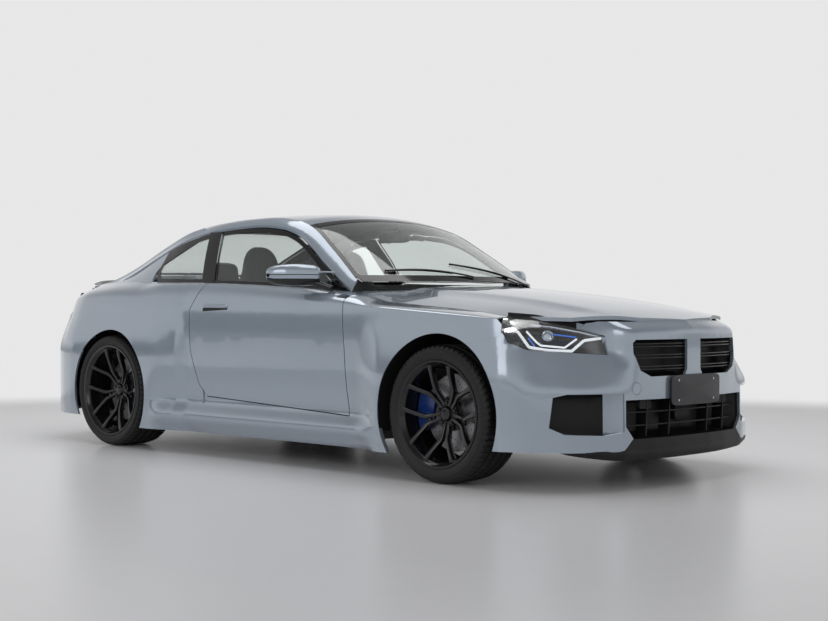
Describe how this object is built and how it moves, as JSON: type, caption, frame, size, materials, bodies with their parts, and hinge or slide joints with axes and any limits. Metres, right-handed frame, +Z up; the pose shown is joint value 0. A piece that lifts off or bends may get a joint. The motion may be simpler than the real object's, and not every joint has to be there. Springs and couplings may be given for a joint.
{
  "type": "coupe car",
  "caption": "Two-door coupe car with a long bonnet, low roof, opening doors, bonnet and boot lid, steered front wheels and free-turning wheels.",
  "frame": {"origin": "on the ground, on the centre plane, halfway along the car's length", "axes": "+X points forward to the nose, +Y to the car's left, +Z up"},
  "size_m": [4.5799, 2.15, 1.4029],
  "materials": {
    "alloy": "cast alloy",
    "caliper": "blue caliper paint",
    "disc": "machined brake steel",
    "glass": "tinted safety glass",
    "lamp": "clear lamp lens",
    "leather": "black leather",
    "paint": "light blue-grey gloss paint",
    "plastic": "black moulded plastic",
    "rim": "gloss black alloy",
    "steel": "bare and painted chassis steel",
    "tail_red": "red lamp lens",
    "tyre": "black tyre rubber"
  },
  "bodies": {
    "root": {"dashboard": "plastic", "engine_block": "alloy", "fender_left": "paint", "fender_right": "paint", "front_bumper": "paint", "front_liners": "plastic", "front_suspension": "steel", "headlamp_left": "lamp", "headlamp_right": "lamp", "quarter_glass_left": "glass", "quarter_glass_right": "glass", "quarter_panel_left": "paint", "quarter_panel_right": "paint", "radiator": "plastic", "rear_bumper_left": "paint", "rear_bumper_right": "paint", "rear_caliper_left": "caliper", "rear_caliper_right": "caliper", "rear_liners": "plastic", "rear_seat": "leather", "rear_suspension": "steel", "rear_window": "glass", "roof_panel": "paint", "roof_rail_left": "paint", "roof_rail_right": "paint", "seat_left": "leather", "seat_right": "leather", "side_skirt_left": "paint", "side_skirt_right": "paint", "tail_lamp_left": "tail_red", "tail_lamp_right": "tail_red", "underbody": "steel", "windscreen": "glass"},
    "steer_left": {"knuckle_left": "alloy", "front_caliper_left": "caliper"},
    "steer_right": {"knuckle_right": "alloy", "front_caliper_right": "caliper"},
    "wheel_front_left": {"tyre_front_left": "tyre", "rim_front_left": "rim", "brake_disc_front_left": "disc"},
    "wheel_front_right": {"tyre_front_right": "tyre", "rim_front_right": "rim", "brake_disc_front_right": "disc"},
    "wheel_rear_left": {"tyre_rear_left": "tyre", "rim_rear_left": "rim", "brake_disc_rear_left": "disc"},
    "wheel_rear_right": {"tyre_rear_right": "tyre", "rim_rear_right": "rim", "brake_disc_rear_right": "disc"},
    "door_left": {"door_left": "paint", "door_glass_left": "glass", "door_mirror_left": "paint"},
    "door_right": {"door_right": "paint", "door_glass_right": "glass", "door_mirror_right": "paint"},
    "bonnet": {"bonnet": "paint"},
    "boot_lid": {"boot_lid": "paint"},
    "steering_wheel": {"steering_wheel": "leather"}
  },
  "joints": [
    {"name": "steer_left", "type": "hinge", "parent": "root", "child": "steer_left", "pos_m": [1.435, 0.725, 0.3375], "axis": [0, 0, 1], "range_deg": [-33, 33]},
    {"name": "wheel_front_left_spin", "type": "hinge", "parent": "steer_left", "child": "wheel_front_left", "pos_m": [1.435, 0.795, 0.3375], "axis": [0, 1, 0], "continuous": true},
    {"name": "wheel_rear_left_spin", "type": "hinge", "parent": "root", "child": "wheel_rear_left", "pos_m": [-1.312, 0.79, 0.3395], "axis": [0, 1, 0], "continuous": true},
    {"name": "door_left_hinge", "type": "hinge", "parent": "root", "child": "door_left", "pos_m": [0.65, 0.865, 0.6], "axis": [0, 0, -1], "range_deg": [0, 65]},
    {"name": "steer_right", "type": "hinge", "parent": "root", "child": "steer_right", "pos_m": [1.435, -0.725, 0.3375], "axis": [0, 0, 1], "range_deg": [-33, 33]},
    {"name": "wheel_front_right_spin", "type": "hinge", "parent": "steer_right", "child": "wheel_front_right", "pos_m": [1.435, -0.795, 0.3375], "axis": [0, 1, 0], "continuous": true},
    {"name": "wheel_rear_right_spin", "type": "hinge", "parent": "root", "child": "wheel_rear_right", "pos_m": [-1.312, -0.79, 0.3395], "axis": [0, 1, 0], "continuous": true},
    {"name": "door_right_hinge", "type": "hinge", "parent": "root", "child": "door_right", "pos_m": [0.65, -0.865, 0.6], "axis": [0, 0, 1], "range_deg": [0, 65]},
    {"name": "bonnet_hinge", "type": "hinge", "parent": "root", "child": "bonnet", "pos_m": [0.745, 0, 0.955], "axis": [0, -1, 0], "range_deg": [0, 50]},
    {"name": "boot_lid_hinge", "type": "hinge", "parent": "root", "child": "boot_lid", "pos_m": [-1.675, 0, 1.043], "axis": [0, 1, 0], "range_deg": [0, 75]},
    {"name": "steering_wheel_turn", "type": "hinge", "parent": "root", "child": "steering_wheel", "pos_m": [0.33, 0.37, 0.8], "axis": [-0.9135, 0, 0.4067], "range_deg": [-400, 400]}
  ],
  "couplings": [
    {"joint": "steer_right", "follows": "steer_left", "ratio": 1},
    {"joint": "steering_wheel_turn", "follows": "steer_left", "ratio": 12}
  ]
}
